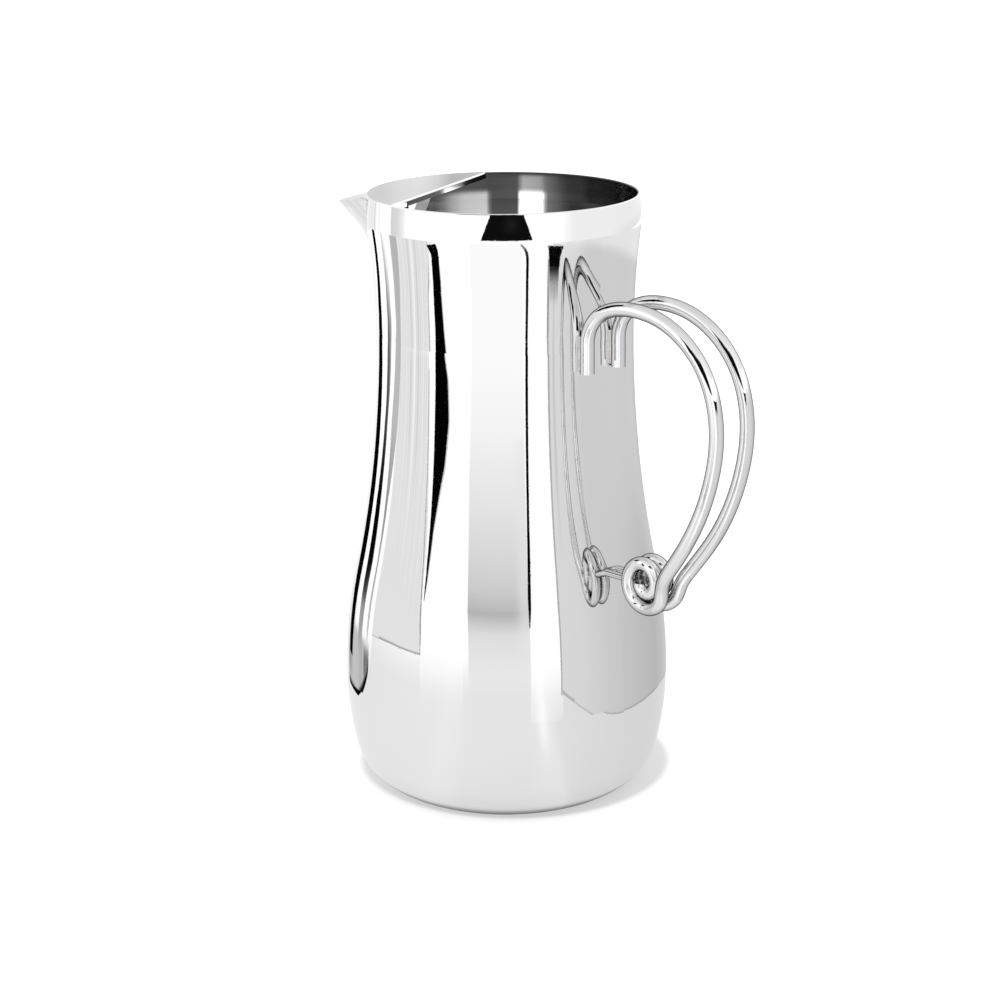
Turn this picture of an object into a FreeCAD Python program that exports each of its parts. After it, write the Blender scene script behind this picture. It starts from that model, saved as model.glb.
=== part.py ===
import FreeCAD, Part
import math
import os
import Sketcher

# Water pitcher: polished waisted body, pressed V spout, flat ice guard and a
# fixed handle of two bent rods that curl up at their lower ends.
# Origin: centre of the foot on the table plane.  +Z up, +X toward the handle.

doc = FreeCAD.newDocument("WaterPitcher")
V = FreeCAD.Vector

# ------------------------------------------------------------------ sizes
sheet = doc.addObject("Spreadsheet::Sheet", "Sizes")
sheet.Label = "Sizes"
SIZES = {}
_row = [0]


def size(alias, value, note):
    _row[0] += 1
    r = _row[0]
    sheet.set("A%d" % r, note)
    sheet.set("B%d" % r, repr(float(value)))
    sheet.setAlias("B%d" % r, alias)
    SIZES[alias] = float(value)
    return float(value)


height = size("overall_height", 228.0, "table to rim")
wall = size("wall_gauge", 1.0, "sheet thickness of the body")
belly_rad = size("belly_radius", 61.6, "largest radius of the body")
belly_z = size("belly_height", 44.0, "height of the largest radius")
foot_z = size("foot_blend_height", 16.0, "top of the rounded foot corner")
low_arc = size("lower_belly_arc", 120.0, "profile arc below the belly")
up_arc = size("upper_belly_arc", 205.0, "profile arc above the belly")
lean = size("shoulder_lean", 0.205, "profile lean at the turning point, radians")
waist_arc = size("waist_arc", 450.0, "profile arc below the waist")
neck_arc = size("neck_arc", 300.0, "profile arc above the waist")
neck_z = size("neck_top_height", 217.5, "crease where the neck meets the rim band")
rim_arc = size("rim_band_arc", 105.0, "slightly crowned band above the crease")
rim_tuck = size("rim_band_tuck", 0.02, "inward lean of the band at the crease, radians")
foot_open = size("foot_opening_radius", 31.5, "radius of the opening in the foot ring")
rim_soft = size("rim_softening", 0.42, "rounding on the rim edges")

base_rad = size("base_disc_radius", 37.4, "radius of the closing disc")
base_gauge = size("base_disc_gauge", 1.4, "thickness of the closing disc")
base_dish = size("base_dish_radius", 24.0, "radius of the shallow dish in the disc")
base_dish_deep = size("base_dish_depth", 0.5, "depth of the shallow dish")

guard_from = size("guard_chord_distance", 25.2, "axis to the straight guard edge")
guard_rad = size("guard_edge_radius", 49.85, "radius of the guard's curved edge")
guard_gauge = size("guard_gauge", 1.1, "guard plate thickness")
guard_lip = size("guard_lip_depth", 2.4, "turned-down front lip")
guard_bend = size("guard_bend_radius", 0.8, "bend at the front lip")

spout_turn = size("spout_bearing", 202.5, "spout direction from +X, degrees")
tip_rad = size("spout_tip_radius", 67.6, "axis to the spout tip")
tip_z = size("spout_tip_height", 221.2, "height of the spout tip")
spout_half = size("spout_half_angle", 33.0, "half angle where the spout leaves the rim")
nose_rad = size("spout_nose_radius", 1.6, "rounding along the keel of the spout")

rod_rad = size("rod_radius", 2.6, "handle rod radius")
rod_half = size("rod_half_spread", 8.1, "half the spread between the rods")
stand_off = size("rod_body_clearance", 0.25, "solder thickness between rod and body")
curl_x = size("curl_centre_x", 74.6, "curl centre from the axis")
curl_z = size("curl_centre_z", 95.0, "curl centre height")
solder_w = size("solder_width", 3.3, "width of the solder run")
solder_low = size("solder_bottom", 170.3, "bottom of the upper solder run")
solder_high = size("solder_top", 182.6, "top of the upper solder run")
stud_rad = size("stud_radius", 1.3, "radius of the lower stud")
doc.recompute()

# ------------------------------------------------- outer profile of the body
# A chain of tangent arcs, bottom to top.  Each entry: centre r, centre z,
# radius, angle at its start, angle at its end (measured at the arc centre).


def chain():
    arcs = []
    a = math.asin((belly_z - foot_z) / low_arc)
    cx = belly_rad - low_arc
    rj = cx + low_arc * math.cos(a)
    corner = foot_z / (1.0 - math.sin(a))
    arcs.append((rj - corner * math.cos(a), corner, corner, -math.pi / 2, -a, 1))
    arcs.append((cx, belly_z, low_arc, -a, 0.0, 1))
    cx = belly_rad - up_arc
    arcs.append((cx, belly_z, up_arc, 0.0, lean, 1))
    zt = belly_z + up_arc * math.sin(lean)
    rt = cx + up_arc * math.cos(lean)
    cxw = rt + waist_arc * math.cos(lean)
    czw = zt + waist_arc * math.sin(lean)
    arcs.append((cxw, czw, waist_arc, math.pi + lean, math.pi, -1))
    wr = cxw - waist_arc
    b = math.asin((neck_z - czw) / neck_arc)
    arcs.append((wr + neck_arc, czw, neck_arc, math.pi, math.pi - b, -1))
    rn = wr + neck_arc - neck_arc * math.cos(b)
    cxr = rn - rim_arc * math.cos(rim_tuck)
    czr = neck_z - rim_arc * math.sin(rim_tuck)
    e = math.asin((height - czr) / rim_arc)
    arcs.append((cxr, czr, rim_arc, rim_tuck, e, 1))
    return arcs


def inner_chain(off):
    # the same arcs moved in by the wall, trimmed to each other at the crease
    out = [list(a) for a in ARCS]
    neck, band = out[4], out[5]
    lo, hi = neck_z - 3.0, neck_z + 3.0

    def gap(z):
        rn, rb = neck[2] + off, band[2] - off
        return (neck[0] - math.sqrt(rn * rn - (z - neck[1]) ** 2)) - (band[0] + math.sqrt(rb * rb - (z - band[1]) ** 2))

    for _ in range(80):
        mid = 0.5 * (lo + hi)
        if gap(mid) < 0:
            lo = mid
        else:
            hi = mid
    z = 0.5 * (lo + hi)
    neck[4] = math.pi - math.asin((z - neck[1]) / (neck[2] + off))
    band[3] = math.asin((z - band[1]) / (band[2] - off))
    return [tuple(a) for a in out]


ARCS = chain()
corner_arc = size("foot_corner_arc", ARCS[0][2], "rounded foot corner")
doc.recompute()
ARC_NAMES = ["foot_corner_arc", "lower_belly_arc", "upper_belly_arc", "waist_arc", "neck_arc", "rim_band_arc"]


def arc_pt(arc, ang, off=0.0):
    # off moves the profile toward the axis
    cx, cz, r, a0, a1, sgn = arc
    rr = r - off if sgn > 0 else r + off
    return (cx + rr * math.cos(ang), cz + rr * math.sin(ang))


def outer_radius(z, off=0.0):
    for cx, cz, r, a0, a1, sgn in ARCS:
        rr = r - off if sgn > 0 else r + off
        z0 = cz + rr * math.sin(a0)
        z1 = cz + rr * math.sin(a1)
        if min(z0, z1) - 1e-9 <= z <= max(z0, z1) + 1e-9:
            h = math.sqrt(max(rr * rr - (z - cz) ** 2, 0.0))
            return cx + h if sgn > 0 else cx - h
    return outer_radius(height - 0.001, off) if z > height - 0.5 else 0.0


rim_out = arc_pt(ARCS[5], ARCS[5][4])
print("rim outer radius", round(rim_out[0], 3), "waist", round(outer_radius(177.0), 3))


def plane_of(body, role):
    for f in body.Origin.OriginFeatures:
        if f.Role == role:
            return f
    raise ValueError(role)


def new_body(name, label):
    b = doc.addObject("PartDesign::Body", name)
    b.Label = label
    return b


def new_sketch(body, name, role, lift=0.0):
    s = body.newObject("Sketcher::SketchObject", name)
    s.AttachmentSupport = [(plane_of(body, role), "")]
    s.MapMode = "FlatFace"
    if lift:
        s.AttachmentOffset = FreeCAD.Placement(V(0, 0, lift), FreeCAD.Rotation())
    return s


def add_arc(sk, arc, off=0.0):
    cx, cz, r, a0, a1, sgn = arc
    rr = r - off if sgn > 0 else r + off
    circle = Part.Circle(V(cx, cz, 0), V(0, 0, 1), rr)
    lo, hi = min(a0, a1), max(a0, a1)
    g = sk.addGeometry(Part.ArcOfCircle(circle, lo, hi), False)
    start_is_lo = a0 < a1
    return g, (1 if start_is_lo else 2), (2 if start_is_lo else 1)


def pin(sk, g, pos, x, y):
    # fixes a vertex by its two coordinates from the sketch origin
    if abs(x) < 1e-9:
        sk.addConstraint(Sketcher.Constraint("PointOnObject", g, pos, -2))
    else:
        sk.addConstraint(Sketcher.Constraint("DistanceX", -1, 1, g, pos, x))
    if abs(y) < 1e-9:
        sk.addConstraint(Sketcher.Constraint("PointOnObject", g, pos, -1))
    else:
        sk.addConstraint(Sketcher.Constraint("DistanceY", -1, 1, g, pos, y))


def joined(sk, g1, p1, g2, p2):
    sk.addConstraint(Sketcher.Constraint("Coincident", g1, p1, g2, p2))


def bind_last(sk, expr):
    sk.setExpression("Constraints[%d]" % (sk.ConstraintCount - 1), expr)


def profile_chain(sk, off):
    # draws the six arcs, returns [(geo, start, end), ...]
    out = []
    arcs = inner_chain(off) if off else ARCS
    for i, arc in enumerate(arcs):
        g, s, e = add_arc(sk, arc, off)
        sign = "-" if arc[5] > 0 else "+"
        rr = arc[2] - off if arc[5] > 0 else arc[2] + off
        sk.addConstraint(Sketcher.Constraint("Radius", g, rr))
        expr = "Sizes.%s" % ARC_NAMES[i]
        if off:
            expr += " %s Sizes.wall_gauge" % sign
        bind_last(sk, expr)
        if out:
            joined(sk, out[-1][0], out[-1][2], g, s)
        x, y = arc_pt(arc, arc[3], off)
        pin(sk, g, s, x, y)
        out.append((g, s, e))
    x, y = arc_pt(arcs[-1], arcs[-1][4], off)
    pin(sk, out[-1][0], out[-1][2], x, y)
    return out


def add_line(sk, p, q):
    return sk.addGeometry(Part.LineSegment(V(p[0], p[1], 0), V(q[0], q[1], 0)), False)


def turn_full(body, sk, name):
    rev = body.newObject("PartDesign::Revolution", name)
    rev.Profile = sk
    rev.ReferenceAxis = (sk, ["V_Axis"])
    rev.Angle = 360
    body.Tip = rev
    return rev


# ------------------------------------------------------------ body shell
shell_body = new_body("ShellTurned", "shell turned")
sk = new_sketch(shell_body, "ShellProfile", "XZ_Plane")
outer = profile_chain(sk, 0.0)
inner = profile_chain(sk, wall)
oa = arc_pt(ARCS[0], ARCS[0][3], 0.0)
ia = arc_pt(ARCS[0], ARCS[0][3], wall)
ot = arc_pt(ARCS[-1], ARCS[-1][4], 0.0)
it = arc_pt(ARCS[-1], ARCS[-1][4], wall)
l1 = add_line(sk, (foot_open, 0.0), oa)
l2 = add_line(sk, (foot_open, wall), ia)
l3 = add_line(sk, (foot_open, 0.0), (foot_open, wall))
l4 = add_line(sk, ot, it)
joined(sk, l1, 2, outer[0][0], outer[0][1])
joined(sk, l2, 2, inner[0][0], inner[0][1])
joined(sk, l3, 1, l1, 1)
joined(sk, l3, 2, l2, 1)
joined(sk, l4, 1, outer[-1][0], outer[-1][2])
joined(sk, l4, 2, inner[-1][0], inner[-1][2])
sk.addConstraint(Sketcher.Constraint("PointOnObject", l1, 1, -1))
sk.addConstraint(Sketcher.Constraint("DistanceX", -1, 1, l1, 1, foot_open))
bind_last(sk, "Sizes.foot_opening_radius")
sk.addConstraint(Sketcher.Constraint("DistanceX", -1, 1, l2, 1, foot_open))
bind_last(sk, "Sizes.foot_opening_radius")
sk.addConstraint(Sketcher.Constraint("DistanceY", -1, 1, l2, 1, wall))
bind_last(sk, "Sizes.wall_gauge")
doc.recompute()
turned = turn_full(shell_body, sk, "ShellTurn")
doc.recompute()
rim_edges = []
for i, e in enumerate(turned.Shape.Edges):
    bb = e.BoundBox
    if bb.ZMin > height - 0.6 and e.Length > 250:
        rim_edges.append("Edge%d" % (i + 1))
soft = shell_body.newObject("PartDesign::Fillet", "RimSoftening")
soft.Base = (turned, rim_edges)
soft.Radius = rim_soft
soft.setExpression("Radius", "Sizes.rim_softening")
shell_body.Tip = soft
doc.recompute()

# full outer form, used only to trim the pieces fixed to the wall
form_body = new_body("OuterForm", "outer form")
sk = new_sketch(form_body, "FormProfile", "XZ_Plane")
fo = profile_chain(sk, 0.0)
top_z = ot[1]
m1 = add_line(sk, (0, 0), oa)
m2 = add_line(sk, ot, (0, top_z))
m3 = add_line(sk, (0, top_z), (0, 0))
joined(sk, m1, 2, fo[0][0], fo[0][1])
joined(sk, m2, 1, fo[-1][0], fo[-1][2])
joined(sk, m2, 2, m3, 1)
joined(sk, m3, 2, m1, 1)
sk.addConstraint(Sketcher.Constraint("Coincident", m1, 1, -1, 1))
sk.addConstraint(Sketcher.Constraint("Horizontal", m2))
sk.addConstraint(Sketcher.Constraint("Vertical", m3))
doc.recompute()
turn_full(form_body, sk, "FormTurn")
doc.recompute()

# ------------------------------------------------------------ spout
# Keel of the spout in its own vertical plane: height, radius.
KEEL = [(190.0, 47.55), (196.5, 50.3), (202.5, 53.0), (208.0, 56.0), (213.0, 60.0), (217.2, 64.0), (tip_z, tip_rad + 0.6), (226.5, 73.6)]


def v_section(z, rk, inset):
    # plan section of the spout at one height: five corners and a rounded nose
    R = outer_radius(min(z, height - 0.3))
    ratio = min(R / rk, 1.0)
    tangent = math.degrees(math.acos(ratio)) if ratio < 1.0 else 0.0
    half = max(7.0, 0.83 * tangent) if z < 219 else spout_half
    half = min(half, spout_half)
    bx, by = R * math.cos(math.radians(half)), R * math.sin(math.radians(half))
    if rk <= R:
        bx = rk - 2.2
    dx, dy = rk - bx, by
    n = math.hypot(dx, dy)
    ux, uy = dx / n, dy / n          # along the flank toward the nose (y falls)
    nx, ny = uy, ux                  # outward normal on the +y side
    bx, by = bx - nx * inset, by - ny * inset
    rk2 = rk - inset / uy
    return bx, by, rk2, ux, uy


def section_points(z, rk, inset, back):
    bx, by, rk2, ux, uy = v_section(z, rk, inset)
    nose = max(nose_rad - inset, 0.6)
    tl = nose * ux / uy              # from the sharp corner back to the tangent point
    s = tl * 1.0
    px, py = rk2 - ux * s, uy * s
    nx0 = px - nose * uy             # centre of the nose arc
    front = (nx0 + nose, 0.0)
    return bx, by, (px, py), front, back


def spout_loft(name, inset, back):
    body = new_body(name, name.lower())
    sks = []
    for i, (z, rk) in enumerate(KEEL):
        s = new_sketch(body, "%sAt%d" % (name, i), "XY_Plane", z)
        bx, by, p, f, bk = section_points(z, rk, inset, back)
        a = add_line(s, (bk, -by), (bx, -by))
        b = add_line(s, (bx, -by), (p[0], -p[1]))
        arc = Part.Arc(V(p[0], -p[1], 0), V(f[0], 0, 0), V(p[0], p[1], 0))
        c = s.addGeometry(arc, False)
        d = add_line(s, (p[0], p[1]), (bx, by))
        e = add_line(s, (bx, by), (bk, by))
        g = add_line(s, (bk, by), (bk, -by))
        for (g1, p1, g2, p2) in ((a, 2, b, 1), (b, 2, c, 1), (c, 2, d, 1), (d, 2, e, 1), (e, 2, g, 1), (g, 2, a, 1)):
            joined(s, g1, p1, g2, p2)
        pin(s, a, 1, bk, -by)
        pin(s, b, 1, bx, -by)
        pin(s, b, 2, p[0], -p[1])
        pin(s, d, 1, p[0], p[1])
        pin(s, e, 1, bx, by)
        pin(s, g, 1, bk, by)
        sks.append(s)
    doc.recompute()
    loft = body.newObject("PartDesign::AdditiveLoft", name + "Loft")
    loft.Profile = sks[0]
    loft.Sections = sks[1:]
    loft.Ruled = False
    body.Tip = loft
    doc.recompute()
    return body


spout_outer = spout_loft("SpoutOuter", 0.0, 30.0)
spout_inner = spout_loft("SpoutInner", wall * 0.9, 26.0)

# sloping cutter over the spout: from the rim at the spout roots down to the tip
root_x = rim_out[0] * math.cos(math.radians(spout_half))
slope = math.degrees(math.atan2(height - tip_z, tip_rad - root_x))
cut_box = doc.addObject("Part::Box", "SpoutTopCutter")
cut_box.Length = 80
cut_box.Width = 120
cut_box.Height = 40
cut_box.Placement = FreeCAD.Placement(
    V(root_x, -60, height), FreeCAD.Rotation(V(0, 1, 0), slope))
flat_box = doc.addObject("Part::Box", "SpoutRimCutter")
flat_box.Length = 120
flat_box.Width = 120
flat_box.Height = 40
flat_box.Placement = FreeCAD.Placement(V(-40, -60, height), FreeCAD.Rotation())

turn = FreeCAD.Placement(V(0, 0, 0), FreeCAD.Rotation(V(0, 0, 1), spout_turn))


def cut(name, base, tool, label=None):
    c = doc.addObject("Part::Cut", name)
    c.Base = base
    c.Tool = tool
    if label:
        c.Label = label
    doc.recompute()
    return c


cutters = doc.addObject("Part::MultiFuse", "SpoutCutters")
cutters.Shapes = [cut_box, flat_box]
s1 = cut("SpoutWalls", spout_outer, spout_inner)
s2 = cut("SpoutTrimTop", s1, cutters)
s2.Placement = turn
form_long = doc.addObject("Part::Cylinder", "FormTop")
form_long.Radius = rim_out[0]
form_long.Height = 6
form_long.Placement = FreeCAD.Placement(V(0, 0, height - 0.25), FreeCAD.Rotation())
spout = cut("Spout", s2, form_body, "spout")

void = doc.addObject("Part::Feature", "SpoutVoid")
vs = spout_inner.Shape.copy()
keep = Part.makeBox(60, 100, 60, V(36.0, -50, 186))
vs = vs.common(keep)
vs.Placement = turn.multiply(vs.Placement)
void.Shape = vs
void.Label = "spout mouth"
shell = cut("BodyShell", shell_body, void, "body_shell")

# ------------------------------------------------------------ base disc
base_body = new_body("BaseDisc", "base_disc")
sk = new_sketch(base_body, "DiscProfile", "XZ_Plane")
pts = [(0, wall + base_dish_deep), (base_dish - 1.0, wall + base_dish_deep), (base_dish, wall),
       (base_rad, wall), (base_rad, wall + base_gauge), (base_dish, wall + base_gauge),
       (base_dish - 1.0, wall + base_gauge + base_dish_deep), (0, wall + base_gauge + base_dish_deep)]
ids = [add_line(sk, pts[i], pts[(i + 1) % len(pts)]) for i in range(len(pts))]
for i in range(len(ids)):
    joined(sk, ids[i], 2, ids[(i + 1) % len(ids)], 1)
    pin(sk, ids[i], 1, pts[i][0], pts[i][1])
doc.recompute()
turn_full(base_body, sk, "DiscTurn")
doc.recompute()

# ------------------------------------------------------------ ice guard
guard_body = new_body("GuardPlate", "guard plate")
sk = new_sketch(guard_body, "GuardOutline", "XY_Plane", height - guard_gauge)
ga = math.acos(guard_from / guard_rad)
hy = guard_rad * math.sin(ga)
garc = sk.addGeometry(Part.ArcOfCircle(Part.Circle(V(0, 0, 0), V(0, 0, 1), guard_rad), -ga, ga), False)
gl = add_line(sk, (guard_from, hy), (guard_from, -hy))
joined(sk, garc, 2, gl, 1)
joined(sk, garc, 1, gl, 2)
sk.addConstraint(Sketcher.Constraint("Coincident", garc, 3, -1, 1))
sk.addConstraint(Sketcher.Constraint("Radius", garc, guard_rad))
bind_last(sk, "Sizes.guard_edge_radius")
sk.addConstraint(Sketcher.Constraint("DistanceX", -1, 1, gl, 1, guard_from))
bind_last(sk, "Sizes.guard_chord_distance")
sk.addConstraint(Sketcher.Constraint("Vertical", gl))
doc.recompute()
gpad = guard_body.newObject("PartDesign::Pad", "GuardPad")
gpad.Profile = sk
gpad.Length = guard_gauge
gpad.setExpression("Length", "Sizes.guard_gauge")
guard_body.Tip = gpad
doc.recompute()
sk2 = new_sketch(guard_body, "LipOutline", "XY_Plane", height - guard_gauge)
q = [(guard_from, -hy + 0.6), (guard_from + guard_gauge, -hy + 0.6), (guard_from + guard_gauge, hy - 0.6), (guard_from, hy - 0.6)]
ids = [add_line(sk2, q[i], q[(i + 1) % 4]) for i in range(4)]
for i in range(4):
    joined(sk2, ids[i], 2, ids[(i + 1) % 4], 1)
    pin(sk2, ids[i], 1, q[i][0], q[i][1])
doc.recompute()
lpad = guard_body.newObject("PartDesign::Pad", "LipPad")
lpad.Profile = sk2
lpad.Length = guard_lip - guard_gauge
lpad.setExpression("Length", "Sizes.guard_lip_depth - Sizes.guard_gauge")
lpad.Reversed = True
guard_body.Tip = lpad
doc.recompute()
bend_edges = []
for i, e in enumerate(lpad.Shape.Edges):
    bb = e.BoundBox
    if bb.XMax < guard_from + 0.01 and bb.ZMin > height - 0.01 and e.Length > 60:
        bend_edges.append("Edge%d" % (i + 1))
gf = guard_body.newObject("PartDesign::Fillet", "GuardBend")
gf.Base = (lpad, bend_edges)
gf.Radius = guard_bend
gf.setExpression("Radius", "Sizes.guard_bend_radius")
guard_body.Tip = gf
guard_body.Placement = turn
doc.recompute()
guard1 = cut("GuardTrim", guard_body, shell)
guard = cut("IceGuard", guard1, spout, "ice_guard")

# ------------------------------------------------------------ handle rods
waist_z = 0.5 * (solder_low + solder_high)
seat = outer_radius(waist_z) + rod_rad + stand_off
top_x = math.sqrt(seat * seat - rod_half * rod_half)
STRAND = [  # x, z, half spread
    (top_x, 169.3, rod_half), (top_x, 173.5, rod_half), (top_x, 177.5, rod_half), (top_x, 181.3, rod_half),
    (51.6, 186.3, rod_half), (55.5, 190.9, rod_half), (61.5, 193.9, rod_half),
    (72.0, 195.3, rod_half), (84.3, 193.5, rod_half), (95.3, 188.0, rod_half),
    (104.0, 179.2, rod_half), (109.2, 167.6, rod_half), (110.6, 154.5, rod_half),
    (108.4, 140.4, rod_half), (103.6, 126.8, 8.08), (97.1, 114.8, 7.95), (90.6, 105.6, 7.45), (86.5, 99.9, 6.6),
]
# curl: fraction of a turn, radius, half spread
CURL = [(0.0, 9.5, 5.1), (0.12, 9.2, 4.05), (0.25, 8.95, 3.4), (0.5, 8.55, 2.9), (0.75, 7.1, 2.75), (1.0, 4.5, 2.75), (1.25, 3.4, 2.75), (1.5, 3.0, 2.75)]
law = Part.BSplineCurve()
law.interpolate([V(a * 10, b, c) for a, b, c in CURL])


def law_at(t):
    lo, hi = law.FirstParameter, law.LastParameter
    for _ in range(60):
        mid = 0.5 * (lo + hi)
        if law.value(mid).x < t * 10:
            lo = mid
        else:
            hi = mid
    p = law.value(0.5 * (lo + hi))
    return p.y, p.z


def rod_path(side):
    pts = [V(x, side * h, z) for x, z, h in STRAND]
    n = 18
    for i in range(n + 1):
        t = i / 12.0
        r, h = law_at(min(t, 1.5))
        a = -2 * math.pi * t
        pts.append(V(curl_x + r * math.cos(a), side * h, curl_z + r * math.sin(a)))
    c = Part.BSplineCurve()
    c.interpolate(pts)
    return c


def rod(name, label, side):
    path = doc.addObject("Part::Feature", name + "Path")
    path.Shape = Part.Wire([rod_path(side).toShape()])
    ring = doc.addObject("Part::Circle", name + "Section")
    ring.Radius = rod_rad
    ring.setExpression("Radius", "Sizes.rod_radius")
    ring.Placement = FreeCAD.Placement(V(top_x, side * rod_half, 169.3), FreeCAD.Rotation())
    doc.recompute()
    sw = doc.addObject("Part::Sweep", name)
    sw.Sections = [ring]
    sw.Spine = (path, ["Edge1"])
    sw.Solid = True
    sw.Frenet = False
    sw.Label = label
    doc.recompute()
    return sw


rod_l = rod("HandleRodLeft", "handle_rod_left", -1)
rod_r = rod("HandleRodRight", "handle_rod_right", 1)


def solder(name, label, side, rod_obj):
    ang = math.degrees(math.atan2(side * rod_half, top_x))
    box = doc.addObject("Part::Box", name + "Block")
    box.Length = 5.2
    box.Width = solder_w
    box.Height = solder_high - solder_low
    box.setExpression("Width", "Sizes.solder_width")
    box.setExpression("Height", "Sizes.solder_top - Sizes.solder_bottom")
    place = FreeCAD.Placement(V(0, 0, 0), FreeCAD.Rotation(V(0, 0, 1), ang))
    box.Placement = place.multiply(FreeCAD.Placement(V(seat - 4.2, -solder_w / 2, solder_low), FreeCAD.Rotation()))
    box.Length = 4.2 - 0.9
    doc.recompute()
    a = cut(name + "Trim", box, form_body)
    return cut(name, a, rod_obj, label)


sol_l = solder("UpperSolderLeft", "upper_solder_left", -1, rod_l)
sol_r = solder("UpperSolderRight", "upper_solder_right", 1, rod_r)


def stud(name, label, side, rod_obj):
    r, h = law_at(0.5)
    cyl = doc.addObject("Part::Cylinder", name + "Pin")
    cyl.Radius = stud_rad
    cyl.setExpression("Radius", "Sizes.stud_radius")
    cyl.Height = curl_x - r - 50.0
    cyl.Placement = FreeCAD.Placement(V(50.0, side * h, curl_z), FreeCAD.Rotation(V(0, 1, 0), 90))
    doc.recompute()
    a = cut(name + "Trim", cyl, form_body)
    return cut(name, a, rod_obj, label)


stud_l = stud("LowerStudLeft", "lower_stud_left", -1, rod_l)
stud_r = stud("LowerStudRight", "lower_stud_right", 1, rod_r)

# ------------------------------------------------------------ checks, output
doc.recompute()
for o in doc.Objects:
    for word in ("Invalid", "Error"):
        if word in o.State:
            raise RuntimeError("%s is %s" % (o.Label, o.State))

NODES = {
    "body_shell": shell, "base_disc": base_body, "spout": spout, "ice_guard": guard,
    "handle_rod_left": rod_l, "handle_rod_right": rod_r,
    "upper_solder_left": sol_l, "upper_solder_right": sol_r,
    "lower_stud_left": stud_l, "lower_stud_right": stud_r,
}
os.makedirs("parts", exist_ok=True)
for name, obj in NODES.items():
    shape = obj.Shape
    if shape.isNull() or not shape.isValid() or not shape.Solids:
        raise RuntimeError("bad shape for " + name)
    bb = shape.BoundBox
    print(name, len(shape.Solids), "solids", round(shape.Volume, 1), "mm3",
          [round(v, 2) for v in (bb.XMin, bb.YMin, bb.ZMin, bb.XMax, bb.YMax, bb.ZMax)])
    shape.exportStep("parts/%s.step" % name)
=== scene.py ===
import math

import bpy
import bmesh
from mathutils import Matrix, Vector

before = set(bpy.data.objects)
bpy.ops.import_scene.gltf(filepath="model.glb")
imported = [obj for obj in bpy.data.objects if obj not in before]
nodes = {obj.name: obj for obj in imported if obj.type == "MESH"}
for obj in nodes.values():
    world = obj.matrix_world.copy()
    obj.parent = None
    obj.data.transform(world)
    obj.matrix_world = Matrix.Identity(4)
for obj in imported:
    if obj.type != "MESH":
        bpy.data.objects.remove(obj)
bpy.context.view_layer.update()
scene = bpy.context.scene
MM = 0.001
AZ = math.radians(45.5)            # camera bearing, from straight in front toward the handle
SILVER = (0.805, 0.805, 0.809)


def spin(v):
    """From the camera's plan axes (x right, y away) to the row frame."""
    c, s = math.cos(AZ), math.sin(AZ)
    return Vector((c * v[0] - s * v[1], s * v[0] + c * v[1], v[2]))


# ------------------------------------------------------------ node helpers
def new_mat(name):
    m = bpy.data.materials.new(name)
    m.use_nodes = True
    nt = m.node_tree
    for n in list(nt.nodes):
        if n.type != "OUTPUT_MATERIAL":
            nt.nodes.remove(n)
    out = [n for n in nt.nodes if n.type == "OUTPUT_MATERIAL"][0]
    b = nt.nodes.new("ShaderNodeBsdfPrincipled")
    nt.links.new(b.outputs["BSDF"], out.inputs["Surface"])
    return m, nt, b


def grey(v):
    return (v, v, v, 1.0)


def ramp(nt, src, stops):
    r = nt.nodes.new("ShaderNodeValToRGB")
    els = r.color_ramp.elements
    while len(els) > 1:
        els.remove(els[-1])
    els[0].position, els[0].color = stops[0]
    for p, c in stops[1:]:
        e = els.new(p)
        e.color = c
    nt.links.new(src, r.inputs["Fac"])
    return r.outputs["Color"]


def math_node(nt, op, a, b=None, clamp=False):
    n = nt.nodes.new("ShaderNodeMath")
    n.operation = op
    n.use_clamp = clamp
    for i, v in enumerate((a, b)):
        if v is None:
            continue
        if isinstance(v, (int, float)):
            n.inputs[i].default_value = v
        else:
            nt.links.new(v, n.inputs[i])
    return n.outputs[0]


def mix_col(nt, fac, a, b):
    n = nt.nodes.new("ShaderNodeMix")
    n.data_type = "RGBA"
    nt.links.new(fac, n.inputs[0])
    for i, v in ((6, a), (7, b)):
        if isinstance(v, tuple):
            n.inputs[i].default_value = v
        else:
            nt.links.new(v, n.inputs[i])
    return n.outputs[2]


def noise(nt, vec, scale, detail=3.0, rough=0.5):
    n = nt.nodes.new("ShaderNodeTexNoise")
    n.inputs["Scale"].default_value = scale
    n.inputs["Detail"].default_value = detail
    n.inputs["Roughness"].default_value = rough
    nt.links.new(vec, n.inputs["Vector"])
    return n.outputs["Fac"]


def stretched(nt, vec, scale, turn=(0, 0, 0)):
    mp = nt.nodes.new("ShaderNodeMapping")
    mp.inputs["Scale"].default_value = scale
    mp.inputs["Rotation"].default_value = turn
    nt.links.new(vec, mp.inputs["Vector"])
    return mp.outputs["Vector"]


def bump(nt, height, strength, distance, normal=None):
    n = nt.nodes.new("ShaderNodeBump")
    n.inputs["Strength"].default_value = strength
    n.inputs["Distance"].default_value = distance
    nt.links.new(height, n.inputs["Height"])
    if normal is not None:
        nt.links.new(normal, n.inputs["Normal"])
    return n.outputs["Normal"]


def round_coords(nt, pos, tight):
    """Turned coordinates: (angle * tight, radius, height), all in metres-like units."""
    sep = nt.nodes.new("ShaderNodeSeparateXYZ")
    nt.links.new(pos, sep.inputs[0])
    x, y, z = sep.outputs
    ang = math_node(nt, "ARCTAN2", y, x)
    rad = math_node(nt, "SQRT", math_node(nt, "ADD", math_node(nt, "MULTIPLY", x, x), math_node(nt, "MULTIPLY", y, y)))
    comb = nt.nodes.new("ShaderNodeCombineXYZ")
    nt.links.new(math_node(nt, "MULTIPLY", ang, tight), comb.inputs[0])
    nt.links.new(rad, comb.inputs[1])
    nt.links.new(z, comb.inputs[2])
    return comb.outputs[0], rad, z


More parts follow.
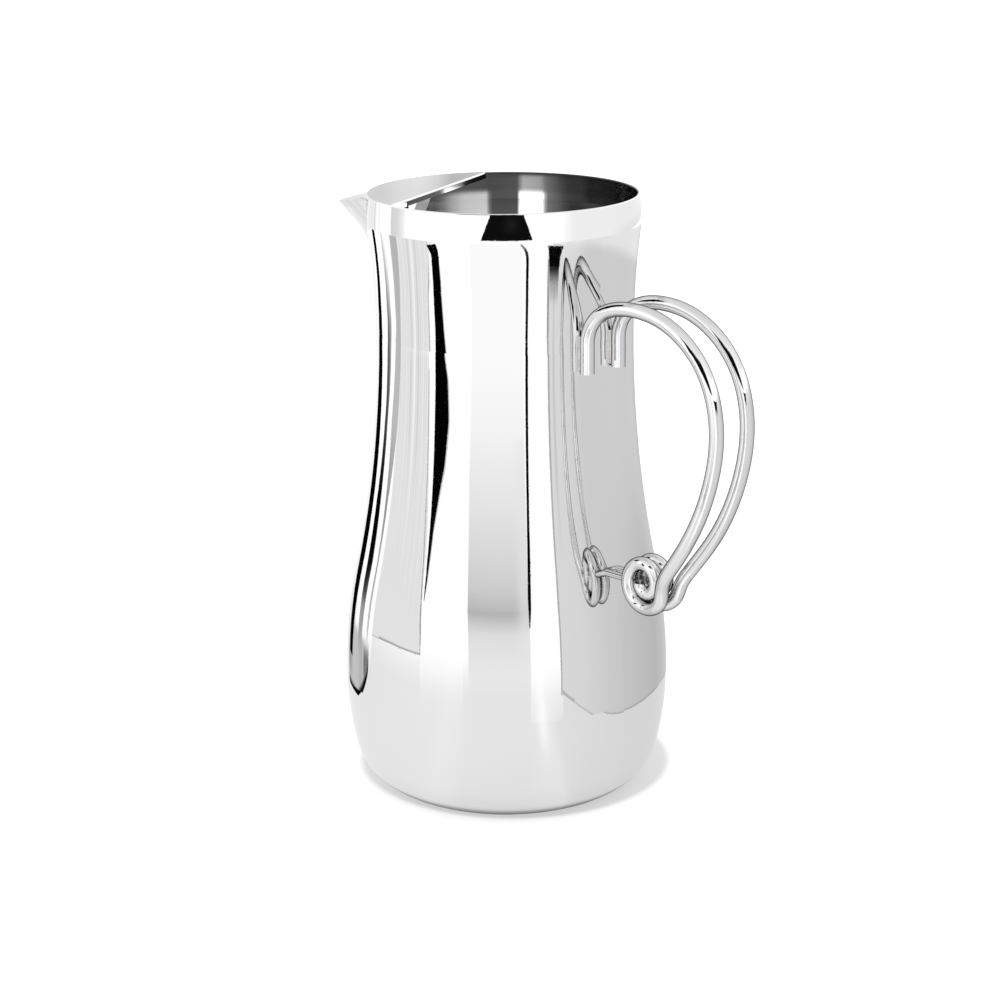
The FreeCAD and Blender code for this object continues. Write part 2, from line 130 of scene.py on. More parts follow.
def hairlines(nt, pos, scale):
    """Faint polishing hairlines in two directions, white where there is a line."""
    a = noise(nt, stretched(nt, pos, (scale, scale * 0.04, scale * 0.9), (0.5, 0.2, 0.9)), 1.0, 2.0)
    b = noise(nt, stretched(nt, pos, (scale * 0.05, scale, scale * 0.7), (1.1, 0.6, 0.3)), 1.0, 2.0)
    la = ramp(nt, a, [(0.60, grey(0.0)), (0.66, grey(1.0))])
    lb = ramp(nt, b, [(0.62, grey(0.0)), (0.68, grey(1.0))])
    return math_node(nt, "MAXIMUM", la, lb)


def mirror_parts(nt, pos, base, low, high, lines=900.0):
    """Colour, roughness and normal of mirror-polished silver with slight handling wear."""
    cloud = noise(nt, pos, 26.0, 4.0)
    fine = noise(nt, pos, 420.0, 3.0)
    hair = hairlines(nt, pos, lines)
    rough = ramp(nt, cloud, [(0.35, grey(low)), (0.75, grey(high))])
    rough = math_node(nt, "ADD", rough, math_node(nt, "MULTIPLY", hair, 0.022))
    rough = math_node(nt, "ADD", rough, math_node(nt, "MULTIPLY", fine, 0.008))
    tone = noise(nt, pos, 14.0, 2.0)
    col = ramp(nt, tone, [(0.32, (base[0] * 0.988, base[1] * 0.982, base[2] * 0.972, 1)), (0.68, (*base, 1))])
    wave = noise(nt, pos, 7.0, 1.0, 0.3)
    nrm = bump(nt, wave, 0.035, 0.004)
    nrm = bump(nt, hair, 0.03, 0.00002, nrm)
    return col, rough, nrm


def object_coords(nt):
    return nt.nodes.new("ShaderNodeTexCoord").outputs["Object"]


# ------------------------------------------------------------ materials
def mirror_material(name, base=SILVER, low=0.008, high=0.03, lines=900.0, edge=1.0, film=1.0):
    m, nt, b = new_mat(name)
    b.inputs["Metallic"].default_value = 1.0
    b.inputs["Specular Tint"].default_value = (edge, edge, edge, 1.0)
    if film < 1.0:
        # a thin tarnish film, darker where it is seen edge on
        b.inputs["Coat Weight"].default_value = 1.0
        b.inputs["Coat IOR"].default_value = 1.0
        b.inputs["Coat Roughness"].default_value = 0.0
        b.inputs["Coat Tint"].default_value = (film, film, film, 1.0)
    col, rough, nrm = mirror_parts(nt, object_coords(nt), base, low, high, lines)
    nt.links.new(col, b.inputs["Base Color"])
    nt.links.new(rough, b.inputs["Roughness"])
    nt.links.new(nrm, b.inputs["Normal"])
    return m


def body_material(name):
    """Mirror outside, satin inside with fine turned lines, painted shade and painted reflections, scuffed under the
    foot.
    """
    m, nt, b = new_mat(name)
    b.inputs["Metallic"].default_value = 1.0
    pos = object_coords(nt)
    col, rough, nrm = mirror_parts(nt, pos, SILVER, 0.006, 0.022, 800.0)
    cyl, rad, z = round_coords(nt, pos, 0.055)
    # inside or outside: the wall's normal against the direction away from the axis
    geo = nt.nodes.new("ShaderNodeNewGeometry")
    flat = nt.nodes.new("ShaderNodeVectorMath")
    flat.operation = "MULTIPLY"
    flat.inputs[1].default_value = (1.0, 1.0, 0.0)
    nt.links.new(pos, flat.inputs[0])
    unit = nt.nodes.new("ShaderNodeVectorMath")
    unit.operation = "NORMALIZE"
    nt.links.new(flat.outputs[0], unit.inputs[0])
    dot = nt.nodes.new("ShaderNodeVectorMath")
    dot.operation = "DOT_PRODUCT"
    nt.links.new(geo.outputs["True Normal"], dot.inputs[0])
    nt.links.new(unit.outputs[0], dot.inputs[1])
    inside = ramp(nt, math_node(nt, "MULTIPLY", dot.outputs["Value"], -1.0), [(0.35, grey(0.0)), (0.55, grey(1.0))])
    # satin: turned lines that run round, over painted shade that is darker deeper down the wall
    rings = noise(nt, stretched(nt, cyl, (18.0, 60.0, 2600.0)), 1.0, 3.0, 0.6)
    blot = noise(nt, stretched(nt, cyl, (30.0, 30.0, 16.0)), 1.0, 3.0)
    painted_depth_shade = ramp(nt, math_node(nt, "MULTIPLY", z, 4.3859), [
        (0.0, grey(0.30)), (0.55, grey(0.33)), (0.80, grey(0.37)), (0.93, grey(0.43)), (0.99, grey(0.50))])
    # painted reflections: light and dark upright blocks by angle round the upper inside, near the mouth
    sep = nt.nodes.new("ShaderNodeSeparateXYZ")
    nt.links.new(pos, sep.inputs[0])
    turnfrac = math_node(nt, "MULTIPLY", math_node(nt, "ADD", math_node(nt, "ARCTAN2", sep.outputs[1], sep.outputs[0]), math.pi), 0.5 / math.pi)
    painted_reflection_low = ramp(nt, turnfrac, [
        (0.0, grey(0.26)), (0.12, grey(0.34)), (0.20, grey(0.20)), (0.34, grey(0.28)), (0.46, grey(0.17)), (0.58, grey(0.09)),
        (0.626, grey(0.02)), (0.70, grey(0.033)), (0.776, grey(0.046)), (0.815, grey(0.08)), (0.8236, grey(0.10)), (0.8266, grey(0.97)), (0.8555, grey(0.98)),
        (0.8580, grey(0.034)), (0.8940, grey(0.025)), (0.8965, grey(0.36)), (0.9310, grey(0.31)), (0.9345, grey(0.27)), (1.0, grey(0.27))])
    painted_reflection_high = ramp(nt, turnfrac, [
        (0.0, grey(0.26)), (0.12, grey(0.34)), (0.20, grey(0.20)), (0.34, grey(0.28)), (0.46, grey(0.17)), (0.58, grey(0.09)),
        (0.626, grey(0.012)), (0.70, grey(0.018)), (0.776, grey(0.03)), (0.815, grey(0.06)), (0.8230, grey(0.08)), (0.830, grey(0.20)), (0.8520, grey(0.25)),
        (0.8590, grey(0.03)), (0.8940, grey(0.016)), (0.8965, grey(0.02)), (1.0, grey(0.05))])
    step = ramp(nt, math_node(nt, "MULTIPLY", z, 4.3859), [(0.962, grey(0.0)), (0.970, grey(1.0))])
    painted_reflection = mix_col(nt, step, painted_reflection_low, painted_reflection_high)
    # painted shade: a near-black band just under the lip on the inside
    lip = ramp(nt, math_node(nt, "MULTIPLY", z, 4.3859), [(0.9915, grey(0.0)), (0.9955, grey(0.9))])
    painted_reflection = mix_col(nt, lip, painted_reflection, grey(0.012))
    satin_and_painted_light = mix_col(nt, ramp(nt, rings, [(0.3, grey(0.0)), (0.7, grey(0.16))]), painted_depth_shade, (0.62, 0.60, 0.59, 1.0))
    high_up = ramp(nt, math_node(nt, "MULTIPLY", z, 4.3859), [(0.78, grey(0.0)), (0.91, grey(0.94))])
    satin_and_painted_light = mix_col(nt, ramp(nt, blot, [(0.3, grey(0.0)), (0.8, grey(0.22))]), satin_and_painted_light, (0.25, 0.245, 0.25, 1.0))
    satin_and_painted_light = mix_col(nt, high_up, satin_and_painted_light, painted_reflection)
    satin_rough = ramp(nt, rings, [(0.25, grey(0.17)), (0.75, grey(0.30))])
    # scuffs on the ring that rests on the table
    under = ramp(nt, math_node(nt, "MULTIPLY", z, 1000.0), [(0.0, grey(1.0)), (0.35, grey(1.0)), (0.9, grey(0.0))])
    scuff = noise(nt, stretched(nt, pos, (420.0, 60.0, 420.0), (0, 0, 0.7)), 1.0, 4.0, 0.7)
    scuff_rough = ramp(nt, scuff, [(0.3, grey(0.12)), (0.7, grey(0.46))])
    col = mix_col(nt, under, col, (0.70, 0.69, 0.68, 1.0))
    rough = mix_col(nt, under, rough, scuff_rough)
    col = mix_col(nt, inside, col, satin_and_painted_light)
    rough = mix_col(nt, inside, rough, satin_rough)
    ring_nrm = bump(nt, rings, 0.10, 0.00006)
    nm = nt.nodes.new("ShaderNodeMix")
    nm.data_type = "VECTOR"
    nt.links.new(inside, nm.inputs[0])
    nt.links.new(nrm, nm.inputs[4])
    nt.links.new(ring_nrm, nm.inputs[5])
    nt.links.new(col, b.inputs["Base Color"])
    nt.links.new(rough, b.inputs["Roughness"])
    nt.links.new(nm.outputs[1], b.inputs["Normal"])
    return m


def turned_material(name):
    """Satin disc with concentric turning marks."""
    m, nt, b = new_mat(name)
    b.inputs["Metallic"].default_value = 1.0
    pos = object_coords(nt)
    cyl, rad, z = round_coords(nt, pos, 0.02)
    rings = noise(nt, stretched(nt, cyl, (30.0, 2400.0, 0.0)), 1.0, 3.0, 0.65)
    coarse = noise(nt, stretched(nt, cyl, (6.0, 420.0, 0.0)), 1.0, 2.0)
    blot = noise(nt, pos, 60.0, 4.0)
    col = ramp(nt, rings, [(0.25, (0.52, 0.51, 0.50, 1)), (0.75, (0.68, 0.67, 0.66, 1))])
    col = mix_col(nt, ramp(nt, blot, [(0.45, grey(0.0)), (0.75, grey(0.35))]), col, (0.47, 0.455, 0.44, 1.0))
    rough = ramp(nt, blot, [(0.3, grey(0.26)), (0.7, grey(0.42))])
    nrm = bump(nt, rings, 0.35, 0.00005)
    nrm = bump(nt, coarse, 0.20, 0.00012, nrm)
    nt.links.new(col, b.inputs["Base Color"])
    nt.links.new(rough, b.inputs["Roughness"])
    nt.links.new(nrm, b.inputs["Normal"])
    return m


def solder_material(name):
    m, nt, b = new_mat(name)
    b.inputs["Metallic"].default_value = 1.0
    pos = object_coords(nt)
    lumps = noise(nt, pos, 900.0, 4.0, 0.6)
    tint = noise(nt, pos, 260.0, 2.0)
    col = ramp(nt, tint, [(0.3, (0.64, 0.62, 0.59, 1)), (0.7, (0.80, 0.79, 0.77, 1))])
    rough = ramp(nt, lumps, [(0.3, grey(0.16)), (0.7, grey(0.34))])
    nrm = bump(nt, lumps, 0.4, 0.00012)
    nt.links.new(col, b.inputs["Base Color"])
    nt.links.new(rough, b.inputs["Roughness"])
    nt.links.new(nrm, b.inputs["Normal"])
    return m


BODY = body_material("silver_body")
SPOUT = mirror_material("silver_spout", low=0.010, high=0.040, lines=1100.0, edge=0.85)
GUARD = mirror_material("silver_guard", base=(0.80, 0.80, 0.806), low=0.02, high=0.06, lines=1300.0)
ROD = mirror_material("silver_rod", base=(0.985, 0.985, 0.989), low=0.010, high=0.045, lines=1600.0, edge=0.04, film=0.84)
STUD = mirror_material("silver_stud", base=(0.95, 0.95, 0.954), low=0.03, high=0.10, lines=1600.0, edge=0.2, film=0.82)
DISC = turned_material("turned_base")
SOLDER = solder_material("silver_solder")
WHICH = {
    "body_shell": BODY, "base_disc": DISC, "spout": SPOUT, "ice_guard": GUARD,
    "handle_rod_left": ROD, "handle_rod_right": ROD,
    "upper_solder_left": SOLDER, "upper_solder_right": SOLDER,
    "lower_stud_left": STUD, "lower_stud_right": STUD,
}
for n, o in nodes.items():
    for slot in o.material_slots:
        slot.link = "OBJECT"
        slot.material = WHICH[n]

# ------------------------------------------------------------ floor
m, nt, b = new_mat("floor_paper")
b.inputs["Base Color"].default_value = (0.23, 0.23, 0.232, 1)
b.inputs["Roughness"].default_value = 1.0
b.inputs["Specular IOR Level"].default_value = 0.0
# painted light: the floor glows to stay white, and its glow colour carries the painted shadows
b.inputs["Emission Strength"].default_value = 1.0
floor_pos = nt.nodes.new("ShaderNodeTexCoord").outputs["Object"]
_, from_axis, _ = round_coords(nt, floor_pos, 1.0)
# painted soft shadow: the floor's glow is dimmed in a disc that lies a little behind the foot
shift = nt.nodes.new("ShaderNodeVectorMath")
shift.operation = "SUBTRACT"
nt.links.new(floor_pos, shift.inputs[0])
shift.inputs[1].default_value = tuple(spin((3.0, 15.0, 0.0)) * MM)
_, from_shade, _ = round_coords(nt, shift.outputs[0], 1.0)
near = ramp(nt, math_node(nt, "MULTIPLY", from_shade, 10.0), [
    (0.0, grey(0.50)), (0.593, grey(0.53)), (0.622, grey(0.80)), (0.66, grey(0.83)), (1.0, grey(0.86))])
# painted contact shadow: a near-black ring just outside the foot's edge, multiplied into the painted soft shadow
foot = ramp(nt, math_node(nt, "MULTIPLY", from_axis, 10.0), [(0.0, grey(1.0)), (0.355, grey(1.0)), (0.375, grey(0.06)), (0.395, grey(0.06)), (0.425, grey(1.0))])
under = nt.nodes.new("ShaderNodeMix")
under.data_type = "RGBA"
under.blend_type = "MULTIPLY"
under.inputs[0].default_value = 1.0
nt.links.new(near, under.inputs[6])
nt.links.new(foot, under.inputs[7])
near = under.outputs[2]
far = ramp(nt, math_node(nt, "MULTIPLY", from_axis, 1.0), [(0.10, grey(0.0)), (0.62, grey(1.0))])
nt.links.new(mix_col(nt, far, near, grey(0.97)), b.inputs["Emission Color"])
# the paper is seen from above only, so that the underside can be looked at
side = nt.nodes.new("ShaderNodeNewGeometry")
clear = nt.nodes.new("ShaderNodeBsdfTransparent")
one_way = nt.nodes.new("ShaderNodeMixShader")
nt.links.new(side.outputs["Backfacing"], one_way.inputs["Fac"])
nt.links.new(b.outputs["BSDF"], one_way.inputs[1])
nt.links.new(clear.outputs[0], one_way.inputs[2])
nt.links.new(one_way.outputs[0], [n for n in nt.nodes if n.type == "OUTPUT_MATERIAL"][0].inputs["Surface"])
bm = bmesh.new()
bmesh.ops.create_circle(bm, cap_ends=True, cap_tris=False, segments=96, radius=9.0)
fm = bpy.data.meshes.new("floor")
bm.to_mesh(fm)
bm.free()
floor = bpy.data.objects.new("floor", fm)
scene.collection.objects.link(floor)
fm.materials.append(m)
floor.location = (0.0, 0.0, -0.00015)

w = bpy.data.worlds.new("studio")
scene.world = w
w.use_nodes = True
w.node_tree.nodes["Background"].inputs["Color"].default_value = (1, 1, 1, 1)
w.node_tree.nodes["Background"].inputs["Strength"].default_value = 1.30

# ------------------------------------------------------------ studio flags
# Curved cards that stand round the pitcher and show only in its polish.
# Angles are degrees to the right of the camera's bearing, heights in mm.
cm = bpy.data.materials.new("studio_card")
cm.use_nodes = True
ct = cm.node_tree
ct.nodes.clear()
c_out = ct.nodes.new("ShaderNodeOutputMaterial")
c_mix = ct.nodes.new("ShaderNodeMixShader")
c_em = ct.nodes.new("ShaderNodeEmission")
c_tr = ct.nodes.new("ShaderNodeBsdfTransparent")
c_tone = ct.nodes.new("ShaderNodeAttribute")
c_tone.attribute_name = "tone"
c_fade = ct.nodes.new("ShaderNodeAttribute")
c_fade.attribute_name = "cover"
ct.links.new(c_tone.outputs["Color"], c_em.inputs["Color"])
ct.links.new(c_fade.outputs["Fac"], c_mix.inputs["Fac"])
ct.links.new(c_tr.outputs[0], c_mix.inputs[1])
ct.links.new(c_em.outputs[0], c_mix.inputs[2])
ct.links.new(c_mix.outputs[0], c_out.inputs["Surface"])


def lin(v):
    c = max(v, 0.0) / 255.0
    return (c / 12.92 if c <= 0.04045 else ((c + 0.055) / 1.055) ** 2.4) / 0.797


def track(table, x):
    """Linear interpolation in a list of (x, y) points."""
    if x <= table[0][0]:
        return table[0][1]
    for (xa, ya), (xb, yb) in zip(table, table[1:]):
        if x <= xb:
            return ya + (yb - ya) * (x - xa) / max(xb - xa, 1e-9)
    return table[-1][1]


def card(name, radius, a0, a1, z0, z1, tone, cover=None, na=24, nz=24, left=None, right=None, foot=None):
    """One card: tone(a, z) in display greys, cover(a, z) from clear to solid.
    left and right give the edge angle by height, foot the lower edge by angle."""
    verts, tones, covers = [], [], []
    for j in range(nz + 1):
        z = z0 + (z1 - z0) * j / nz
        la = track(left, z) if left else a0
        ra = track(right, z) if right else a1
        for i in range(na + 1):
            a = la + (ra - la) * i / na
            zz = z
            if foot:
                zf = track(foot, a)
                zz = zf + (z1 - zf) * j / nz
            t = math.radians(a)
            verts.append(spin((radius * math.sin(t), -radius * math.cos(t), zz)) * MM)
            tones.append(lin(tone(a, zz)))
            covers.append(1.0 if cover is None else max(0.0, min(1.0, cover(a, zz))))
    return stand_card(name, verts, tones, covers, na, nz)


def stand_card(name, verts, tones, covers, na, nz):
    faces = []
    for j in range(nz):
        for i in range(na):
            k = j * (na + 1) + i
            faces.append((k, k + 1, k + na + 2, k + na + 1))
    me = bpy.data.meshes.new(name)
    me.from_pydata([tuple(v) for v in verts], [], faces)
    me.attributes.new("tone", "FLOAT_COLOR", "POINT")
    me.attributes.new("cover", "FLOAT", "POINT")
    rgba = []
    for v in tones:
        rgba += [v, v * 0.998, v * 1.004, 1.0]
    me.attributes["tone"].data.foreach_set("color", rgba)
    me.attributes["cover"].data.foreach_set("value", covers)
    me.materials.append(cm)
    ob = bpy.data.objects.new(name, me)
    scene.collection.objects.link(ob)
    ob.visible_camera = False
    ob.visible_diffuse = False
    ob.visible_shadow = False
    ob.visible_transmission = False
    ob.visible_volume_scatter = False
    return ob


def flat_card(name, height, radii, tone, cover, na=240):
    """A card that lies flat all the way round, with tone and cover by angle and radius."""
    verts, tones, covers = [], [], []
    for r in radii:
        for i in range(na + 1):
            a = -180.0 + 360.0 * i / na
            t = math.radians(a)
            verts.append(spin((r * math.sin(t), -r * math.cos(t), height)) * MM)
            tones.append(lin(tone(a, r)))
            covers.append(max(0.0, min(1.0, cover(a, r))))
    return stand_card(name, verts, tones, covers, na, len(radii) - 1)


def ease(x, a, b):
    t = max(0.0, min(1.0, (x - a) / (b - a)))
    return t * t * (3 - 2 * t)


# the table as the lower half of the pitcher sees it, with painted shadow darkening it close round the foot
AROUND = [(-180, 222), (-120, 225), (-95, 228), (-70, 230), (-45, 231), (-36, 234), (-27, 232), (-20, 228), (10, 227), (16, 229),
          (26, 230), (31, 222), (40, 220), (54, 218), (70, 215), (84, 213), (110, 211), (140, 212), (165, 219), (180, 222)]
TABLE_SHADE_OUTWARD = [(43, -150), (46, -105), (48.5, -72), (50.5, -27), (53, -13), (58, -9), (65, -5), (75, -3), (95, -1), (130, 0), (250, 0), (400, 12), (640, 24)]

flat_card("table_card", 0.2, [43, 44.5, 46, 47.2, 48.5, 49.5, 50.5, 52, 53, 55, 58, 61, 65, 70, 75, 85, 95, 110, 130, 150, 175, 200, 250, 320, 400, 500, 640],
          lambda a, r: min(250.0, track(AROUND, a) + track(TABLE_SHADE_OUTWARD, r) + 20.0 * math.exp(-((a - 20.5) / 2.8) ** 2) * ease(r, 70, 170)),
          lambda a, r: 1.0 - ease(r, 420, 640))

# a big soft light overhead, a little greyer in the middle
flat_card("ceiling", 780, [1, 150, 300, 450, 600, 750, 900, 1050, 1200],
          lambda a, r: track([(0, 212), (300, 220), (700, 236), (1200, 250)], r) + 5.0 * math.sin(math.radians(a * 2 + 40)) * ease(r, 0, 200),
          lambda a, r: 1.0 - ease(r, 900, 1200), na=72)

# right card: stands about 140 mm off the axis on the table
RIGHT_FOOT = [(30, 34.0), (31, 31.0), (35, 26.0), (41, 19.5), (48, 13.5), (55, 7.8), (60, 4.4), (64, 2.3), (69, 1.0), (76, 0.4), (85, 0.3), (150, 0.3)]


def right_top(a):
    return track([(30, 174.5), (40, 177.0), (48, 181.0), (60, 183.0), (90, 185.5), (120, 189.0), (160, 196.0)], a)


def right_tone(a, z):
    low = track([(30, 214), (45, 212), (60, 203), (84, 192), (110, 181), (130, 190)], a)
    high = track([(30, 216), (42, 214), (60, 203), (90, 204), (130, 200), (142, 190), (150, 160)], a)
    v = low + (high - low) * ease(z, 55, 120)
    v += 24.0 * ease(z, 175.3, 180.0) * ease(a, 34, 60)
    v += 10.0 * ease(z, 168, 175) * (1 - ease(a, 52, 66))
    # painted contact shadow: a dark strip along the card's foot
    if z < track(RIGHT_FOOT, a) + 1.6:
        v -= 38.0
    return v


card("card_right", 142, 31.4, 156, 0, 199, right_tone,
     lambda a, z: 1.0 - ease(z, right_top(a) - 2.5, right_top(a) + 2.0), na=120, nz=110,
     left=[(30, 30.2), (60, 30.3), (95, 30.8), (125, 31.2), (160, 31.7), (175, 31.7)], foot=RIGHT_FOOT)
card("card_rim_right", 142, 35, 165, 200, 244, lambda a, z: track([(35, 252), (46, 240), (52, 237), (76, 238), (100, 235), (165, 232)], a) - 9 * ease(z, 210, 202) * ease(a, 80, 100),
     lambda a, z: ease(a, 36, 50) * (1 - ease(a, 150, 165)), na=40, nz=12)
card("card_right_edge", 141.5, 30.6, 31.7, 30, 172, lambda a, z: 172 - 20 * ease(z, 150, 165), na=2, nz=20,
     left=[(30, 30.0), (60, 30.0), (95, 30.5), (125, 30.9), (160, 31.3), (175, 31.3)],
     right=[(30, 30.7), (60, 30.8), (95, 31.5), (125, 31.9), (160, 32.6), (175, 32.6)])
card("card_right_strip", 141.0, 34.8, 37.0, 100, 168, lambda a, z: 190, lambda a, z: 0.75 * ease(z, 100, 130) * math.sin(math.pi * min(max((a - 34.8) / 2.2, 0), 1)), na=6, nz=12)
card("clip_black", 140.5, 31.6, 40.4, 160, 177, lambda a, z: 6,
     lambda a, z: ease(z, 164, 171.5) ** 1.6, na=8, nz=28,
     left=[(158, 33.4), (171, 32.6), (175, 31.6), (177, 30.2)], right=[(158, 38.8), (171, 39.8), (175, 41.0), (177, 42.4)])

# left card: about 340 mm off, faint upright streaks
LEFT_FOOT = [(-108, 0.5), (-100, 5.4), (-94, 9.2), (-84, 14.2), (-74, 17.1), (-66, 19.0), (-58, 21.0)]


def left_tone(a, z):
    s = math.sin(a * 2.9 + 0.6) * 0.5 + math.sin(a * 4.7 + 2.0) * 0.3 + math.sin(a * 1.3) * 0.3
    v = 226 + 11.0 * s * ease(z, 60, 108)
    v -= 22.0 * math.exp(-((a + 76.5) / 0.9) ** 2) * ease(z, 85, 105)
    v -= 20.0 * math.exp(-((a + 84.5) / 0.8) ** 2) * ease(z, 85, 105)
    v += 16.0 * math.exp(-((a + 80.5) / 1.0) ** 2) * ease(z, 80, 105)
    # painted contact shadow: a dark strip along the card's foot
    if z < track(LEFT_FOOT, a) + 1.9:
        v -= 62.0
    return v


card("card_left", 340, -108, -58, 0, 122, left_tone, lambda a, z: 1.0 - ease(z, 112, 121), na=220, nz=60,
     right=[(20, -57.8), (42, -58.2), (90, -60.3), (97, -63.4), (104, -65.1), (122, -65.6)], foot=LEFT_FOOT)
card("card_left_edge", 339, -59, -58, 21, 110, lambda a, z: 120, lambda a, z: 0.9 - 0.35 * ease(z, 85, 104), na=2, nz=20,
     left=[(20, -58.3), (42, -58.7), (90, -60.9), (97, -64.0), (104, -65.7), (122, -66.2)],
     right=[(20, -57.5), (42, -57.9), (90, -60.0), (97, -63.1), (104, -64.8), (122, -65.3)])

# white fill on each side of the middle, open at the foot
card("fill_left", 143, -57.5, -24, 8, 182, lambda a, z: 255,
     lambda a, z: ease(z, 12, 80) * ease(a, -57.5, -55.5), na=30, nz=30,
     left=[(8, -50), (90, -51), (110, -54), (125, -56), (178, -57.5)])
card("fill_right", 143, 13.0, 31.2, 8, 182, lambda a, z: 255, lambda a, z: 0.25 * ease(z, 4, 20) + 0.75 * ease(z, 14, 62), na=20, nz=30)
card("fill_flank", 144, -119, -92, 24, 184, lambda a, z: 255, lambda a, z: ease(z, 20, 50), na=20, nz=20)

# soft middle panel with a dark band low down
MID = [(0, 228), (40, 228), (58, 227), (68, 225), (76, 219), (83, 200), (88, 178), (92, 190), (97, 203), (105, 214), (120, 229), (135, 241), (150, 249), (178, 251)]


def mid_tone(a, z):
    v = track(MID, z)
    side = ease(a, -24, -17) * (1 - ease(a, 3, 11))
    if 60 < z < 135:
        v += (1 - side) * (230 - v) * 0.55 * ease(a, -6, 10)
    return min(v, 252)


card("panel_middle", 142.5, -23.5, 13.2, 10, 182, mid_tone,
     lambda a, z: 0.2 * ease(z, 8, 30) + 0.8 * ease(z, 20, 66), na=60, nz=90,
     left=[(10, -20), (70, -21.3), (100, -23.4), (125, -25), (178, -23)])

# upright black pieces: a thin stand, a bulging flag and the strips on the far left
card("stand_thin", 141, 14, 15.4, 80, 177.2, lambda a, z: 8 + 60 * (1 - ease(z, 80, 92)),
     lambda a, z: 1.0 - 0.35 * ease(z, 174.7, 177.2), na=2, nz=64,
     left=[(80, 12.9), (95, 12.7), (105, 13.3), (120, 13.9), (140, 14.4), (160, 14.9), (172, 15.3), (174.6, 14.4), (176, 12.6), (177.2, 10.6)],
     right=[(80, 13.5), (90, 14.4), (105, 15.1), (120, 15.6), (140, 16.3), (160, 16.8), (172, 17.4), (174.6, 16.6), (176, 14.6), (177.2, 12.2)])
card("flag_black", 141, -53, -48, 87, 177.4, lambda a, z: 3, None, na=4, nz=60,
     left=[(87, -51.1), (99, -51.8), (116, -52.1), (137, -52.8), (159, -53.0), (171.5, -53.7), (174.8, -54.0), (176.4, -56.4), (177.4, -57.2)],
     right=[(87, -50.7), (99, -50.0), (108, -49.2), (116, -47.2), (126, -43.9), (138, -42.0), (148, -43.0), (159, -45.6), (171, -47.4), (175.2, -47.8), (177.4, -49.5)])
card("flag_black_edge", 140.5, -52, -43, 90, 172, lambda a, z: 140, lambda a, z: 0.6, na=2, nz=40,
     left=[(87, -50.7), (99, -50.0), (108, -49.2), (116, -47.2), (126, -43.9), (138, -42.0), (148, -43.0), (159, -45.6), (172, -47.8)],
     right=[(87, -50.3), (99, -49.5), (108, -48.6), (116, -46.4), (126, -43.1), (138, -41.2), (148, -42.3), (159, -45.0), (172, -47.2)])
card("strip_a", 133, -131.5, -119.6, 21, 191, lambda a, z: 3 + 90 * ease(a, -126, -133) * 0, None, na=8, nz=20,
     left=[(21, -127), (60, -131), (120, -131.5), (155, -129.5), (178, -125)],
     right=[(21, -119.6), (96, -118.6), (124, -119.5), (156, -119.8), (178, -118.8)])
card("strip_far", 133, -175, -131.2, 60, 191, lambda a, z: 236, lambda a, z: 0.9, na=10, nz=10)
card("strip_b", 133, -111, -103.4, 30, 191,
     lambda a, z: track([(36, 172), (58, 150), (66, 60), (78, 6), (100, 3), (118, 45), (128, 70), (158, 95), (178, 182), (190, 214)], z)
     + 60 * ease(a, -107, -103) * ease(z, 60, 70), lambda a, z: ease(z, 28, 40), na=10, nz=50,
     left=[(30, -109), (76, -111), (97, -112.3), (126, -111), (157, -107.6), (178, -107)],
     right=[(30, -103.2), (81, -103), (101, -104.6), (128, -105), (158, -101.4), (178, -101.8)])
card("strip_c", 133, -98, -90, 40, 191, lambda a, z: track([(44, 190), (66, 165), (104, 140), (130, 182), (178, 178)], z),
     lambda a, z: 0.95 * ease(z, 38, 50), na=6, nz=30,
     left=[(40, -96.9), (84, -96.9), (104, -97.4), (130, -98.4), (159, -94.4), (178, -94.2)],
     right=[(40, -95), (85, -94.9), (105, -94.4), (132, -89.8), (160, -87.6), (178, -85.5)])
TONGUE = [(-129, 1.0), (-110.8, 0.6), (-106.6, 3.4), (-102.7, 7.5), (-99.3, 12.2), (-96.1, 17.4), (-93.9, 23.4), (-92.9, 31)]


def tongue_tone(a, z):
    gap = z - track(TONGUE, a)
    v = 190 - 45 * ease(a, -116, -128) * ease(z, 2, 18) - 14 * math.exp(-((a + 104) / 3.0) ** 2)
    # painted contact shadow: the tongue goes dark close above its foot
    v = v * ease(gap, 2.2, 7.5) + 4.0 * (1 - ease(gap, 2.2, 7.5))
    if a > -100:
        v = min(v, 120 + 80 * ease(z, 30, 42))
    return v


card("tongue", 134, -130, -93.2, 0, 46, tongue_tone, lambda a, z: 1.0 - ease(z, 36, 45), na=70, nz=60, foot=TONGUE)

# grey wing seen in the flank of the spout and the rim beside it
def wing_tone(a, z):
    v = 229 + 6 * (1 - ease(a, -137, -128)) - 5 * ease(z, 200, 186) + 6 * math.sin(a * 0.9) * ease(a, -146, -130)
    v += 20 * ease(a, -118, -110)
    v -= 34 * math.exp(-((a + 114.6) / 0.9) ** 2)
    return v


card("card_wing", 132.5, -180, -101, 191.5, 240, wing_tone, lambda a, z: 0.95 * (1.0 - ease(a, -104.5, -101)), na=120, nz=12)

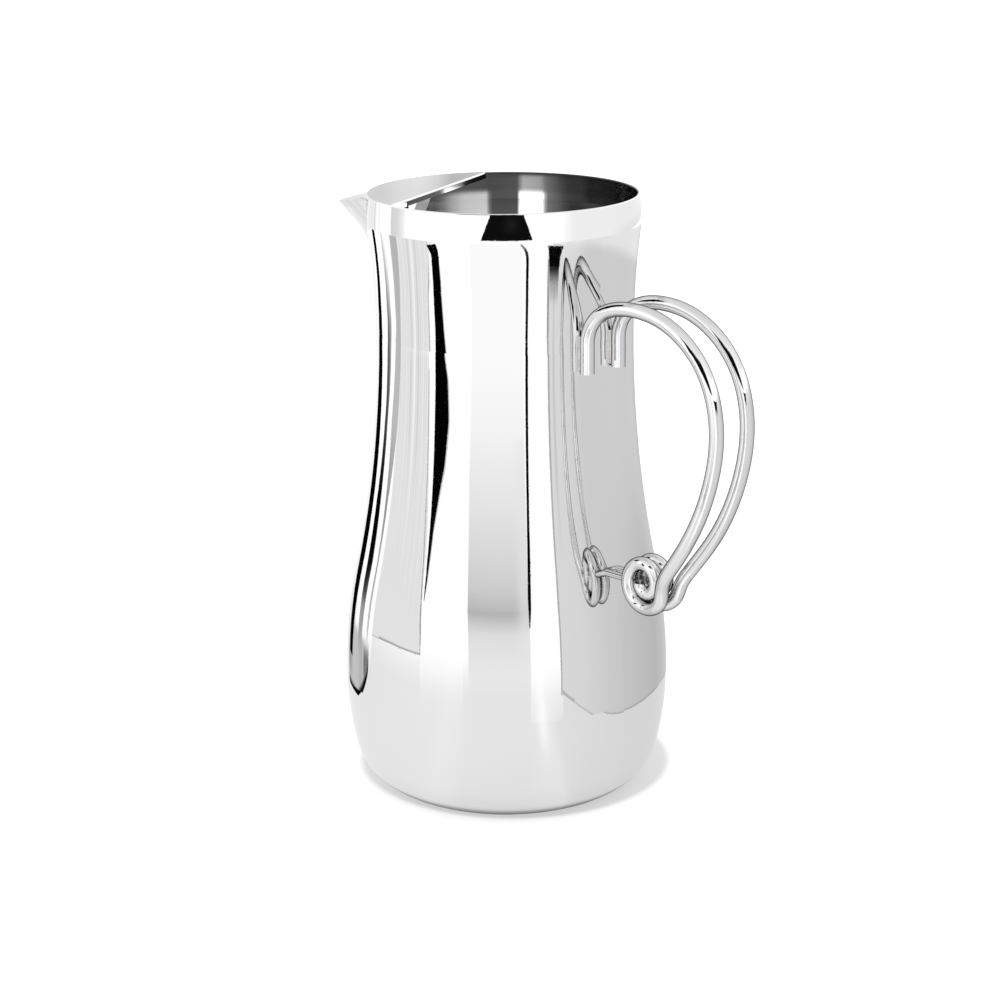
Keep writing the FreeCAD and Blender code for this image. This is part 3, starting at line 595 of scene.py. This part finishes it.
card("card_wing_b", 132.5, -89.6, -72, 186, 240, lambda a, z: track([(-89, 211), (-84.5, 214), (-81, 219), (-77.5, 231), (-74, 247), (-72, 252)], a),
     lambda a, z: ease(a, -89.6, -88.6) * (1 - ease(a, -75, -72)), na=36, nz=8)

# far wall behind the pitcher, seen in the flat top of the ice guard
card("wall_far", 600, 170, 196, 240, 440,
     lambda a, z: track([(180, 190), (182.2, 181), (182.9, 173), (183.9, 205), (184.9, 217), (186, 214), (187.2, 202), (190, 214)], a) + 5 * math.sin(z * 0.21), None, na=60, nz=30)

# soft light let down into the mouth on the near side
card("mouth_light", 39, -80, 80, 182, 227, lambda a, z: 310, lambda a, z: 0.95 * ease(z, 182, 190), na=40, nz=10)

# the dark end of the room over the camera, seen in the rim band
card("room_end", 142, -15, 19, 208.8, 262, lambda a, z: 13 + 16 * math.exp(-((a - 5) / 5.0) ** 2 - ((z - 224) / 7.0) ** 2), None, na=20, nz=30,
     left=[(208.8, -15.4), (233.6, -9.1), (262, -4)], right=[(208.8, 19.0), (233.6, 13.3), (262, 8)])

# the same dark end higher up, where only the handle looks
card("room_high", 640, -46, 16, 272, 900, lambda a, z: 9,
     lambda a, z: ease(a, -46, -38) * (1 - ease(a, 8, 16)) * ease(z, 272, 312) * (1 - ease(z, 640, 900)), na=40, nz=30)

# ------------------------------------------------------------ camera
D, HC, FPX, ZT, XO, ROLL = 865.28, 363.57, 2376.8, 110.6, -2.118, -0.006988
cam_data = bpy.data.cameras.new("photo_camera")
cam = bpy.data.objects.new("photo_camera", cam_data)
scene.collection.objects.link(cam)
scene.camera = cam
C = Vector((0, -D, HC))
fw = (Vector((XO, 0, ZT)) - C).normalized()
rt = fw.cross(Vector((0, 0, 1))).normalized()
up = rt.cross(fw)
cr, sr = math.cos(ROLL), math.sin(ROLL)
rt2 = cr * rt + sr * up
up2 = -sr * rt + cr * up
R = Matrix((spin(rt2), spin(up2), spin(-fw))).transposed()
cam.matrix_world = Matrix.Translation(spin(C) * MM) @ R.to_4x4()
cam_data.sensor_width = 36.0
cam_data.lens = FPX / 1000.0 * 36.0
cam_data.clip_start = 0.02
cam_data.clip_end = 40.0

scene.view_settings.view_transform = "Standard"
scene.view_settings.look = "None"
